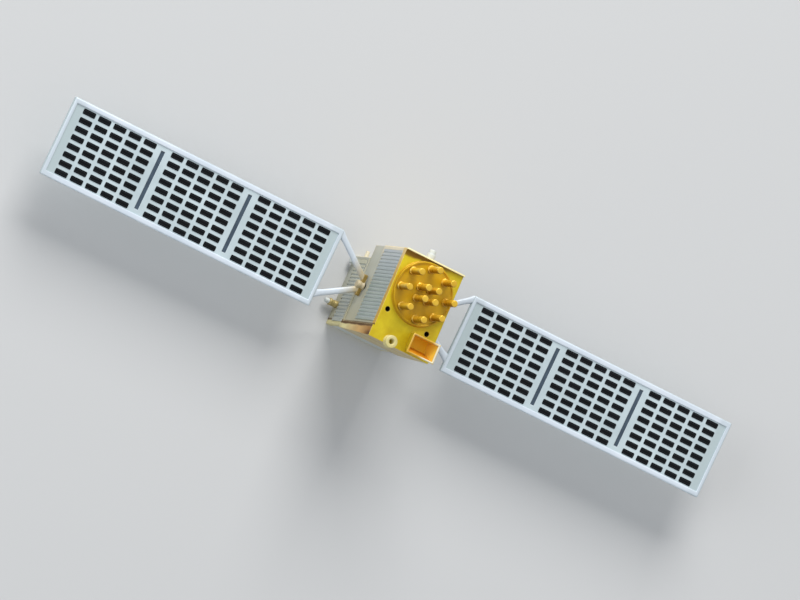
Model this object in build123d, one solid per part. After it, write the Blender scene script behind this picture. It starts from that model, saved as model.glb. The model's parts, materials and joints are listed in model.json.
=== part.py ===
from build123d import *
import os

# Display model of a navigation satellite: a stepped gold body with two solar wings.
# Sizes are in mm. Z is the body's depth, from the rear face at z = 0 to the antenna deck.
# Y is the wing axis. X crosses the deck, from the body's top face at -X to the shelf at +X.

# Body depths, from the rear face forward
rear_depth = 24.0
waist_depth = 14.0
front_depth = 34.0

# Body width along Y, and each block's reach from the wing axis towards -X and +X
body_width = 43.0
front_up = 28.8
front_down = 24.0
rear_up = 20.0
rear_down = 27.0
waist_inset = 0.5
waist_top_step = 0.5
edge_round = 0.8

# Raised lip along the deck's -X edge
lip_width = 1.0
lip_height = 2.0

# Shelf along the +X side of the front box and the waist
shelf_front_thick = 7.5
shelf_rear_thick = 4.5
shelf_overhang = 1.0
shelf_dot_radius = 1.3
shelf_dot_depth = 1.2
shelf_dot_spread = 20.0

# Ribbed radiator panels let into the side faces
panel_thick = 1.5
panel_proud = 0.3
panel_gap = 0.1
panel_border = 2.5
panel_deck_border = 4.0
rear_panel_margin = 7.0
rib_pitch = 2.4
rib_width = 1.3
groove_depth = 0.6

# Plain plates let into the top and underside faces
plate_thick = 1.2
plate_border = 3.0
seam_width = 0.8

# Round antenna array on the deck
disc_radius = 20.4
disc_thick = 2.0
disc_centre_x = -6.4
disc_rim_width = 1.1
disc_rim_height = 0.7
rod_radius = 2.2
rod_length = 14.0
rod_collar_radius = 2.7
rod_collar_height = 1.2
outer_rods = 8
outer_rod_circle = 16.3
outer_rod_start = 5.0
inner_rods = 4
inner_rod_circle = 5.2
inner_rod_start = 50.0

# Open holes in the deck, as rows of x and y
deck_hole_radius = 1.7
deck_hole_depth = 6.0
deck_holes = [
    (11.5, -17.4),
    (14.9, 13.7),
]

# White ring on the shelf's front edge
ring_radius = 4.1
ring_bore_radius = 1.6
ring_length = 4.5
ring_y = -8.0
ring_overhang = 2.1

# Flared horn at the deck's lower corner, which leans towards +X
horn_x = 23.0
horn_y = 10.5
horn_lean = 2.5
horn_root_x = 9.0
horn_root_y = 14.0
horn_mouth_x = 13.0
horn_mouth_y = 20.0
horn_length = 12.0
horn_wall = 1.0
horn_floor = 1.2

# White stub on the front box's -X face
stub_radius = 2.8
stub_cap_radius = 2.2
stub_height = 6.5
stub_y = -1.0
stub_setback = 5.0

# Two small holes in the waist's -X face, and a pin on a corner of the rear top plate
waist_hole_radius = 1.4
waist_hole_depth = 2.0
waist_hole_ys = (-7.0, 9.5)
pin_radius = 1.3
pin_height = 5.0
pin_margin = 2.2

# Thruster stubs on the rear box's sides: a white pair near the top face and a gold pair below
side_stub_margin = 4.2
white_stub_radius = 2.2
white_stub_length = 3.5
gold_stub_radius = 2.4
gold_stub_length = 6.0
gold_stub_x = 14.0
gold_tip_radius = 1.6
gold_tip_length = 3.0

# Tapped hole in the rear face, by which the model is screwed to its carrier
fixing_radius = 1.65
fixing_depth = 12.0

# Solar wings
wing_length = 200.0
wing_width = 52.5
wing_thick = 2.0
wing_corner = 1.0
wing_rim_width = 1.3
wing_rim_height = 0.4
wing_tilt = 5.5
wing_setback = 5.5

# Yokes: two arms from a root bar to the wing's root edge, with a hub and an axle on the wing axis
yoke_reach = 28.5
yoke_gap = 0.5
arm_width = 4.8
arm_foot_up = 3.0
arm_foot_down = 1.5
arm_end_down = 17.8
root_bar_depth = 3.0
root_bar_thick = 3.0
hub_radius = 2.6
hub_length = 5.0
axle_radius = 2.0
axle_clearance = 0.05
axle_length = 9.0
axle_end_gap = 0.6

# Cells on each wing's front face: three fields of columns along the wing by rows across it
fields = 3
cell_columns = 5
cell_rows = 8
cell_pitch_y = 11.2
cell_pitch_x = 5.8
cell_gap_y = 2.4
cell_gap_x = 2.3
cell_thick = 0.3
field_gap = 9.0

# Dark seam strips between the fields, each in a shallow groove
seam_strip_width = 2.8
seam_strip_length = 39.5
seam_groove_depth = 0.7
seam_strip_thick = 0.3

# Cross grooves in each wing's back, as many behind each cell field
back_grooves = 6
back_groove_pitch = 10.1
back_groove_width = 4.6
back_groove_length = 40.0
back_groove_depth = 0.5

# Places that follow from the sizes above
waist_z = rear_depth
front_z = rear_depth + waist_depth
deck_z = front_z + front_depth
wing_z = front_z - wing_setback
side_y = body_width / 2
waist_y = side_y - waist_inset
waist_top_x = -front_up + waist_top_step
wing_root_y = side_y + yoke_reach
wing_middle_y = wing_root_y + wing_length / 2
yoke_root_y = side_y + yoke_gap
arm_end_up = wing_width / 2 - arm_width / 2
SIDES = [("left", -1), ("right", 1)]

# Side panels: lowest and highest x and z on the front and the rear box
FRONT_PANEL = ((-front_up + panel_border, front_down - panel_border),
               (front_z + panel_border, deck_z - panel_deck_border))
REAR_PANEL = ((-rear_up + panel_border, rear_down - panel_border),
              (rear_panel_margin, rear_depth - panel_border))

# Face plates: x of the face, its outward direction, and the lowest and highest z of the box
FRONT_TOP = (-front_up, -1, front_z, deck_z)
REAR_TOP = (-rear_up, -1, 0, rear_depth)
REAR_UNDERSIDE = (rear_down, 1, 0, rear_depth)


def block(x_low, x_high, y_low, y_high, z_low, z_high):
    """A box between its lowest and highest corners."""
    size = Box(x_high - x_low, y_high - y_low, z_high - z_low)
    return Pos((x_low + x_high) / 2, (y_low + y_high) / 2, (z_low + z_high) / 2) * size


def hole(radius, depth, location):
    """A round cutter that starts at location and runs depth along its +Z."""
    return location * Cylinder(radius, depth, align=(Align.CENTER, Align.CENTER, Align.MIN))


def post(radius, height):
    """A round post that stands on the XY plane."""
    return Cylinder(radius, height, align=(Align.CENTER, Align.CENTER, Align.MIN))


def panel_pockets(panel):
    """The two shallow pockets for a box's side panels."""
    (x0, x1), (z0, z1) = panel
    depth = panel_thick - panel_proud
    cutters = []
    for _, side in SIDES:
        inner, outer = sorted((side * (side_y - depth), side * (side_y + 1)))
        cutters.append(block(x0 - panel_gap, x1 + panel_gap, inner, outer, z0 - panel_gap, z1 + panel_gap))
    return cutters


def side_panel(panel, side):
    """A thin panel with ribs along Z on its outer face."""
    (x0, x1), (z0, z1) = panel
    face_y = side * (side_y + panel_proud)
    back_y = face_y - side * panel_thick
    y0, y1 = sorted((face_y, back_y))
    solid = block(x0, x1, y0, y1, z0, z1)
    groove = rib_pitch - rib_width
    count = int((x1 - x0 - rib_width) // rib_pitch)
    first = (x0 + x1) / 2 - (count - 1) * rib_pitch / 2
    floor_y = face_y - side * groove_depth
    g0, g1 = sorted((floor_y, face_y + side))
    for i in range(count):
        x = first + i * rib_pitch
        solid -= block(x - groove / 2, x + groove / 2, g0, g1, z0 - 1, z1 + 1)
    return solid


def plate_span(place):
    """Lowest and highest y and z of a face plate."""
    _, _, low_z, high_z = place
    return -side_y + plate_border, side_y - plate_border, low_z + plate_border, high_z - plate_border


def face_plate(place):
    """A thin plain plate that stands slightly proud of its face."""
    face_x, out, _, _ = place
    y0, y1, z0, z1 = plate_span(place)
    outer_x = face_x + out * panel_proud
    x0, x1 = sorted((outer_x, outer_x - out * plate_thick))
    return block(x0, x1, y0, y1, z0, z1)


def plate_pocket(place):
    """The shallow pocket that a face plate sits in."""
    face_x, out, _, _ = place
    y0, y1, z0, z1 = plate_span(place)
    x0, x1 = sorted((face_x + out, face_x - out * (plate_thick - panel_proud)))
    return block(x0, x1, y0 - panel_gap, y1 + panel_gap, z0 - panel_gap, z1 + panel_gap)


def rear_box():
    box = block(-rear_up, rear_down, -side_y, side_y, 0, rear_depth)
    box = fillet(box.edges().filter_by(Axis.Z), edge_round)
    for cutter in panel_pockets(REAR_PANEL) + [plate_pocket(REAR_TOP), plate_pocket(REAR_UNDERSIDE)]:
        box -= cutter
    return box - hole(fixing_radius, fixing_depth, Pos(0, 0, 0))


def rear_top_panel():
    """A plain plate with one seam across it, on the rear box's -X face."""
    plate = face_plate(REAR_TOP)
    y0, y1, z0, z1 = plate_span(REAR_TOP)
    seam_y = y0 + (y1 - y0) / 3
    outer_x = -rear_up - panel_proud
    return plate - block(outer_x - 1, outer_x + plate_thick / 2, seam_y, seam_y + seam_width, z0 - 1, z1 + 1)


def rear_pin():
    """A small pin with a chamfered tip, on a corner of the rear top plate."""
    pin = post(pin_radius, pin_height)
    pin = chamfer(pin.edges().sort_by(Axis.Z)[-1], pin_radius * 0.3)
    y0, _, z0, _ = plate_span(REAR_TOP)
    return Location((-rear_up - panel_proud, y0 + pin_margin, z0 + pin_margin), (0, -90, 0)) * pin


def waist_block():
    """The neck between the boxes, with a blind socket for each wing's axle."""
    waist = block(waist_top_x, front_down, -waist_y, waist_y, waist_z, front_z)
    for _, side in SIDES:
        mouth = Location((0, side * (waist_y + 1), wing_z), (90 * side, 0, 0))
        waist -= hole(axle_radius + axle_clearance, 1 + axle_length + axle_end_gap, mouth)
    for y in waist_hole_ys:
        waist -= hole(waist_hole_radius, waist_hole_depth + 1, Location((waist_top_x - 1, y, wing_z), (0, 90, 0)))
    return waist


def front_box():
    """The box under the deck, with a raised lip along the deck's -X edge."""
    box = block(-front_up, front_down, -side_y, side_y, front_z, deck_z)
    box += block(-front_up, -front_up + lip_width, -side_y, side_y, deck_z, deck_z + lip_height)
    box = fillet(box.edges().filter_by(Axis.Z).filter_by_position(Axis.Z, front_z, deck_z), edge_round)
    for cutter in panel_pockets(FRONT_PANEL) + [plate_pocket(FRONT_TOP)]:
        box -= cutter
    for x, y in deck_holes:
        box -= hole(deck_hole_radius, deck_hole_depth, Location((x, y, deck_z), (180, 0, 0)))
    return box


def shelf_plate():
    """A wedge plate, thicker at the deck, with two small round recesses."""
    width = body_width + 2 * shelf_overhang
    profile = Plane.XZ * Polyline(
        (front_down, waist_z),
        (front_down + shelf_rear_thick, waist_z),
        (front_down + shelf_front_thick, deck_z),
        (front_down, deck_z),
        close=True,
    )
    shelf = extrude(make_face(profile), width / 2, both=True)
    mid_z = (waist_z + deck_z) / 2
    mid_x = front_down + (shelf_rear_thick + shelf_front_thick) / 2
    for y in (-shelf_dot_spread / 2, shelf_dot_spread / 2):
        mouth = Location((mid_x + 1, y, mid_z), (0, -90, 0))
        shelf -= hole(shelf_dot_radius, shelf_dot_depth + 1, mouth)
    return shelf


def array_disc():
    """A flat disc with a raised rim round its edge."""
    disc = post(disc_radius, disc_thick + disc_rim_height)
    inside = post(disc_radius - disc_rim_width, disc_rim_height + 1)
    return Pos(disc_centre_x, 0, deck_z) * (disc - Pos(0, 0, disc_thick) * inside)


def array_rods():
    """An outer and an inner circle of rods on the disc, each rod on its collar."""
    rod = post(rod_radius, rod_length) + post(rod_collar_radius, rod_collar_height)
    rings = [
        (outer_rods, outer_rod_circle, outer_rod_start),
        (inner_rods, inner_rod_circle, inner_rod_start),
    ]
    rods = []
    for count, circle, start in rings:
        for place in PolarLocations(circle, count, start):
            turn = place.position
            rods.append(Pos(disc_centre_x + turn.X, turn.Y, deck_z + disc_thick) * rod)
    return Compound(children=rods)


def white_ring():
    """A short thick tube on the shelf's front face, reaching past its edge."""
    ring_x = front_down + shelf_front_thick + ring_overhang - ring_radius
    ring = post(ring_radius, ring_length) - post(ring_bore_radius, ring_length)
    return Pos(ring_x, ring_y, deck_z) * ring


def horn_profile(plane, root, mouth, lean, low, inset):
    """One side view of the horn above a low end, with both slopes moved in by inset, as a wide prism."""
    share = low / horn_length
    half_low = (root + (mouth - root) * share) / 2 - inset
    half_top = mouth / 2 - inset
    outline = plane * Polyline(
        (lean * share - half_low, low),
        (lean * share + half_low, low),
        (lean + half_top, horn_length),
        (lean - half_top, horn_length),
        close=True,
    )
    return extrude(make_face(outline), horn_mouth_x + horn_mouth_y, both=True)


def horn_form(low, inset):
    """The form that has a horn profile from both sides: where two crossing prisms meet."""
    across = horn_profile(Plane.XZ, horn_root_x, horn_mouth_x, horn_lean, low, inset)
    along = horn_profile(Plane.YZ, horn_root_y, horn_mouth_y, 0, low, inset)
    return across & along


def corner_horn():
    """A rectangular horn that flares and leans towards its open mouth, with an even wall and a closed root."""
    return Pos(horn_x, horn_y, deck_z) * (horn_form(0, 0) - horn_form(horn_floor, horn_wall))


def top_stub():
    """A white stub with a stepped cap, pointing towards -X from the front top plate."""
    stub = post(stub_radius, stub_height * 0.6) + post(stub_cap_radius, stub_height)
    return Location((-front_up - panel_proud, stub_y, deck_z - stub_setback - plate_border), (0, -90, 0)) * stub


def side_stubs(stub, x):
    """One thruster stub on each side of the rear box, near the rear face."""
    places = [Location((x, side * side_y, side_stub_margin), (-90 * side, 0, 0)) for _, side in SIDES]
    return Compound(children=[place * stub for place in places])


def tilted(piece):
    """Turn a wing's piece about the wing axis to the angle at which the wings stand."""
    return Pos(0, 0, wing_z) * Rot(0, wing_tilt, 0) * piece


def yoke_arm(foot_x, end_x):
    """A flat straight arm from the root bar to the wing's root edge."""
    half = arm_width / 2
    outline = Plane.XY * Polyline(
        (foot_x - half, yoke_root_y),
        (foot_x + half, yoke_root_y),
        (end_x + half, wing_root_y),
        (end_x - half, wing_root_y),
        close=True,
    )
    return extrude(make_face(outline), wing_thick / 2, both=True)


def wing_yoke(side):
    """An open V of two arms on a root bar, with a round hub and an axle that enters the waist."""
    yoke = yoke_arm(-arm_foot_up, -arm_end_up) + yoke_arm(arm_foot_down, arm_end_down)
    bar_low, bar_high = -arm_foot_up - arm_width / 2, arm_foot_down + arm_width / 2
    half_bar = root_bar_thick / 2
    yoke += block(bar_low, bar_high, yoke_root_y, yoke_root_y + root_bar_depth, -half_bar, half_bar)
    axle_reach = axle_length + yoke_root_y - waist_y
    axle = Cylinder(axle_radius, axle_reach, align=(Align.CENTER, Align.CENTER, Align.MAX))
    yoke += Location((0, yoke_root_y, 0), (-90, 0, 0)) * (post(hub_radius, hub_length) + axle)
    if side < 0:
        yoke = mirror(yoke, about=Plane.XZ)
    return tilted(yoke)


def field_centres():
    """Y of each cell field's centre, from the root outwards."""
    pitch = cell_columns * cell_pitch_y + field_gap
    return [wing_middle_y + (i - (fields - 1) / 2) * pitch for i in range(fields)]


def seam_centres():
    """Y of the middle between neighbouring fields."""
    centres = field_centres()
    return [(low + high) / 2 for low, high in zip(centres, centres[1:])]


def wing_plate(side):
    """A flat plate with a raised rim and seam grooves in front, and cross grooves in its back."""
    front = wing_thick / 2
    plate = Pos(0, side * wing_middle_y, wing_rim_height / 2) * Box(
        wing_width, wing_length, wing_thick + wing_rim_height)
    plate = fillet(plate.edges().filter_by(Axis.Z), wing_corner)
    plate -= Pos(0, side * wing_middle_y, front + wing_rim_height / 2) * Box(
        wing_width - 2 * wing_rim_width, wing_length - 2 * wing_rim_width, wing_rim_height)
    for y in seam_centres():
        plate -= Pos(0, side * y, front) * Box(seam_strip_length, seam_strip_width, 2 * seam_groove_depth)
    for centre in field_centres():
        for i in range(back_grooves):
            y = side * (centre + (i - (back_grooves - 1) / 2) * back_groove_pitch)
            plate -= Pos(0, y, -front) * Box(back_groove_length, back_groove_width, 2 * back_groove_depth)
    return tilted(plate)


def wing_seams(side):
    """Thin dark strips on the floors of the seam grooves."""
    floor_z = wing_thick / 2 - seam_groove_depth
    strip = Box(seam_strip_length, seam_strip_width, seam_strip_thick, align=(Align.CENTER, Align.CENTER, Align.MIN))
    return Compound(children=[tilted(Pos(0, side * y, floor_z) * strip) for y in seam_centres()])


def wing_cells(side):
    """Thin cell tiles that lie on the plate's front face."""
    tile = Box(
        cell_pitch_x - cell_gap_x, cell_pitch_y - cell_gap_y, cell_thick,
        align=(Align.CENTER, Align.CENTER, Align.MIN),
    )
    tiles = []
    for centre in field_centres():
        for place in GridLocations(cell_pitch_x, cell_pitch_y, cell_rows, cell_columns):
            y = side * (centre + place.position.Y)
            tiles.append(tilted(Pos(place.position.X, y, wing_thick / 2) * tile))
    return Compound(children=tiles)


def main():
    white_stub = post(white_stub_radius, white_stub_length)
    gold_stub = post(gold_stub_radius, gold_stub_length) + post(gold_tip_radius, gold_stub_length + gold_tip_length)
    nodes = {
        "rear_box": rear_box(),
        "rear_top_panel": rear_top_panel(),
        "rear_underside_panel": face_plate(REAR_UNDERSIDE),
        "rear_pin": rear_pin(),
        "waist_block": waist_block(),
        "front_box": front_box(),
        "front_top_panel": face_plate(FRONT_TOP),
        "shelf_plate": shelf_plate(),
        "array_disc": array_disc(),
        "array_rods": array_rods(),
        "white_ring": white_ring(),
        "corner_horn": corner_horn(),
        "top_stub": top_stub(),
        "side_stubs_white": side_stubs(white_stub, -rear_up + side_stub_margin),
        "side_stubs_gold": side_stubs(gold_stub, gold_stub_x),
    }
    for name, side in SIDES:
        nodes[f"radiator_front_{name}"] = side_panel(FRONT_PANEL, side)
        nodes[f"radiator_rear_{name}"] = side_panel(REAR_PANEL, side)
        nodes[f"wing_{name}_yoke"] = wing_yoke(side)
        nodes[f"wing_{name}_plate"] = wing_plate(side)
        nodes[f"wing_{name}_seams"] = wing_seams(side)
        nodes[f"wing_{name}_cells"] = wing_cells(side)
    os.makedirs("parts", exist_ok=True)
    for name, solid in nodes.items():
        export_step(solid, f"parts/{name}.step")


main()
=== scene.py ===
import json
import math

import bmesh
import bpy
import numpy as np
from mathutils import Matrix, Vector


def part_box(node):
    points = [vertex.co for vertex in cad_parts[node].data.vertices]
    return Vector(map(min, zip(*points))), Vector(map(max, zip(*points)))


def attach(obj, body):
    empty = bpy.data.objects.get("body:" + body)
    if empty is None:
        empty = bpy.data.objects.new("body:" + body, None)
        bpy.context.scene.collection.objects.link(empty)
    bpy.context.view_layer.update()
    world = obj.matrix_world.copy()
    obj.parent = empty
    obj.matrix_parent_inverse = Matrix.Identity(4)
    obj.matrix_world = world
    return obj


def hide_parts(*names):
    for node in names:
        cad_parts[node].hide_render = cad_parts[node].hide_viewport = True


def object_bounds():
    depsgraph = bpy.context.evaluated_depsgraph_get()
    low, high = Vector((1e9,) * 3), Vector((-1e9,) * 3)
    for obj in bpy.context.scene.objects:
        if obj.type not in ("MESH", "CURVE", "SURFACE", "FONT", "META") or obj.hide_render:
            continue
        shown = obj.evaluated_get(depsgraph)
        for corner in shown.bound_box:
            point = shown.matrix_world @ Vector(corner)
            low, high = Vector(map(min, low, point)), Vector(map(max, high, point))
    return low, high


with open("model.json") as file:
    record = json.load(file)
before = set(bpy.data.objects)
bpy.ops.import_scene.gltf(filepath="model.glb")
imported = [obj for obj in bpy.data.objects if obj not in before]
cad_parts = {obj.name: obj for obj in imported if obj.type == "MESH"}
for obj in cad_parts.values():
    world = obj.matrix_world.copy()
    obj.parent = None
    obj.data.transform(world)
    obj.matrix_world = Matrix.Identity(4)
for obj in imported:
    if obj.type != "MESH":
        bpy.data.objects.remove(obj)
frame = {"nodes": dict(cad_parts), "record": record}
cad_low, cad_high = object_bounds()

# The wings' stance: both tilt by this angle about the wing axis, which lies in the plane x = 0.
# Then the plates' sizes, and the right one's root, tip and middle along Y
WING_TILT = math.radians(5.5)
WING_AXIS_Z = 0.0325
WING_WIDTH = 0.0525
WING_THICK = 0.002
WING_ROOT_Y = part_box("wing_right_plate")[0].y
WING_TIP_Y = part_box("wing_right_plate")[1].y
WING_MIDDLE_Y = (WING_ROOT_Y + WING_TIP_Y) / 2
SIDES = (("left", -1), ("right", 1))

# The side faces of the rear box, and the plane where the yokes' root bars start
SIDE_FACE_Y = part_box("rear_box")[1].y
YOKE_ROOT_Y = SIDE_FACE_Y + 0.0005

# The planes of the deck, of the front box's rear face and of the face that the shelf lies on
DECK_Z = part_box("array_disc")[0].z
FRONT_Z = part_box("front_box")[0].z
SHELF_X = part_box("shelf_plate")[0].x

# The deck's two open holes: x and y of each. Then how far round their axes the paint is darkened as painted
# shade inside them, which is just past their walls, and how far below the deck
DECK_HOLES = ((0.0115, -0.0174), (0.0149, 0.0137))
DECK_HOLE_REACH = 0.0018
DECK_HOLE_SHADE = 0.0200

# The camera stands above the deck's lower left corner, and the picture's top is towards -X
CAMERA_PLACE = (0.677, -2.039, 4.759)
CAMERA_UP = (-0.906, -0.423, -0.013)
LENS_MM = 372.0
SENSOR_MM = 36.0

# Rods on the array disc: how many, the circle's radius and the first rod's angle on each circle.
# Then a rod's radius, and its collar's radius and height
ROD_CIRCLES = ((8, 0.0163, 5.0), (4, 0.0052, 50.0))
ROD_RADIUS = 0.0022
ROD_COLLAR = (0.0027, 0.0012)

# The white ring's bore. Then how far out the gold side stubs' shoulder lies, and where their white tips
# start, with the tips' radius
RING_BORE = 0.0016
GOLD_STUB_SHOULDER = 0.0060
STUB_TIP = (0.0056, 0.0016)

# Fields of cells on each wing: fields, columns along the wing, rows across it
CELL_FIELDS = (3, 5, 8)
CELL_PITCH = (0.0058, 0.0112)
CELL_SIZE = (0.0035, 0.0088)
CELL_THICK = 0.0003
CELL_CORNER = 0.0007
FIELD_GAP = 0.0090

# Yoke arms: x of each foot on the root bar and of each end on the wing's root edge, and their width.
# The root bar's depth and thickness, and x of its two ends; the hub's radius and length
YOKE_ARMS = ((-0.0030, -0.02385), (0.0015, 0.0178))
ARM_WIDTH = 0.0048
ROOT_BAR = (0.0030, 0.0026)
ROOT_BAR_REACH = (-0.0074, 0.0070)
HUB = (0.0026, 0.0050)

# Cells and trim are lifted by this or a few times this, so that no two faces share a plane
HAIR = 0.00001

# Studio: half the floor's side, and the tones of the floor, of the sky's light and of the sky that is seen
FLOOR_REACH = 8.0
FLOOR_TONE = (0.60, 0.61, 0.62, 1.0)
SKY_LIGHT = (0.94, 0.97, 1.0, 1.0)
SKY_POWER = 0.48
SKY_SEEN = (0.80, 0.81, 0.82, 1.0)


# Meshes from grids of points

def surface(name, grid, wrap_u=False, wrap_v=False, sharp_deg=38.0, local=None):
    """A mesh over grids of points, shaped (copies, u, v, 3): each cell of a grid is one face.
    Rows or columns that wrap are joined end to start, and a row whose points meet becomes a pole.
    Where local is given, each point keeps its own pair of values as an attribute of that name."""
    copies, rows, columns, _ = grid.shape
    index = np.arange(copies * rows * columns).reshape(copies, rows, columns)
    if wrap_u:
        index = np.concatenate([index, index[:, :1]], axis=1)
    if wrap_v:
        index = np.concatenate([index, index[:, :, :1]], axis=2)
    corners = [index[:, :-1, :-1], index[:, 1:, :-1], index[:, 1:, 1:], index[:, :-1, 1:]]
    quads = np.stack(corners, axis=-1).reshape(-1, 4)
    mesh = bpy.data.meshes.new(name)
    mesh.from_pydata(grid.reshape(-1, 3).tolist(), [], quads.tolist())
    if local is not None:
        kept = mesh.attributes.new("local", "FLOAT2", "POINT")
        kept.data.foreach_set("vector", np.asarray(local, float).ravel())
    work = bmesh.new()
    work.from_mesh(mesh)
    bmesh.ops.remove_doubles(work, verts=work.verts, dist=1e-7)
    bmesh.ops.dissolve_degenerate(work, edges=work.edges, dist=1e-8)
    bmesh.ops.recalc_face_normals(work, faces=work.faces)
    work.to_mesh(mesh)
    work.free()
    mesh.shade_smooth()
    mesh.set_sharp_from_angle(angle=math.radians(sharp_deg))
    piece = bpy.data.objects.new(name, mesh)
    bpy.context.scene.collection.objects.link(piece)
    return piece


def turned(outline, segments):
    """A profile of (radius, height) pairs carried once round the Z axis, as a grid (profile, angle)."""
    outline = np.asarray(outline, float)
    angle = np.linspace(0, 2 * np.pi, segments, endpoint=False)
    radius, height = outline[:, :1], outline[:, 1:]
    return np.stack([radius * np.cos(angle), radius * np.sin(angle), height + 0 * angle], axis=-1)


def arc(centre, radius, start_deg, end_deg, steps):
    """Points of (radius, height) on a circle's arc between two angles, for a turned profile."""
    angle = np.radians(np.linspace(start_deg, end_deg, steps))
    return np.stack([centre[0] + radius * np.cos(angle), centre[1] + radius * np.sin(angle)], axis=1)


def profile(*stretches):
    """One profile out of single points and arcs, in order."""
    return np.concatenate([np.atleast_2d(np.asarray(s, float)) for s in stretches])


def placed(grid, places):
    """Copies of one grid, moved to each row of places."""
    return grid[None] + np.asarray(places, float)[:, None, None, :]


def turned_towards(grid, axis):
    """A grid that stood along +Z, turned so that it stands along axis."""
    turn = np.array(Vector((0, 0, 1)).rotation_difference(Vector(axis)).to_matrix())
    return grid @ turn.T


def rounded_outline(width, height, radius, steps=4):
    """Points round a rectangle with arcs at its corners: each corner's centre plus a quarter circle."""
    quarter = np.linspace(0, np.pi / 2, steps)
    angle = (np.arange(4)[:, None] * np.pi / 2 + quarter[None]).ravel()
    side = np.repeat(np.array([[1, 1], [-1, 1], [-1, -1], [1, -1]], float), steps, axis=0)
    centre = side * np.array([width / 2 - radius, height / 2 - radius])
    return centre + radius * np.stack([np.cos(angle), np.sin(angle)], axis=1)


def soft_oval(power, steps):
    """Points round a unit shape between a circle and a square: each of cosine and sine to a low power."""
    angle = np.linspace(0, 2 * np.pi, steps, endpoint=False)
    wave = np.stack([np.cos(angle), np.sin(angle)], axis=1)
    return np.sign(wave) * np.abs(wave) ** power


def tilted(points):
    """Points of a flat wing, turned about the wing axis to the wings' stance."""
    c, s = math.cos(WING_TILT), math.sin(WING_TILT)
    x, y, z = points[..., 0], points[..., 1], points[..., 2]
    return np.stack([c * x + s * z, y, WING_AXIS_Z - s * x + c * z], axis=-1)


# Node helpers

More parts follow.
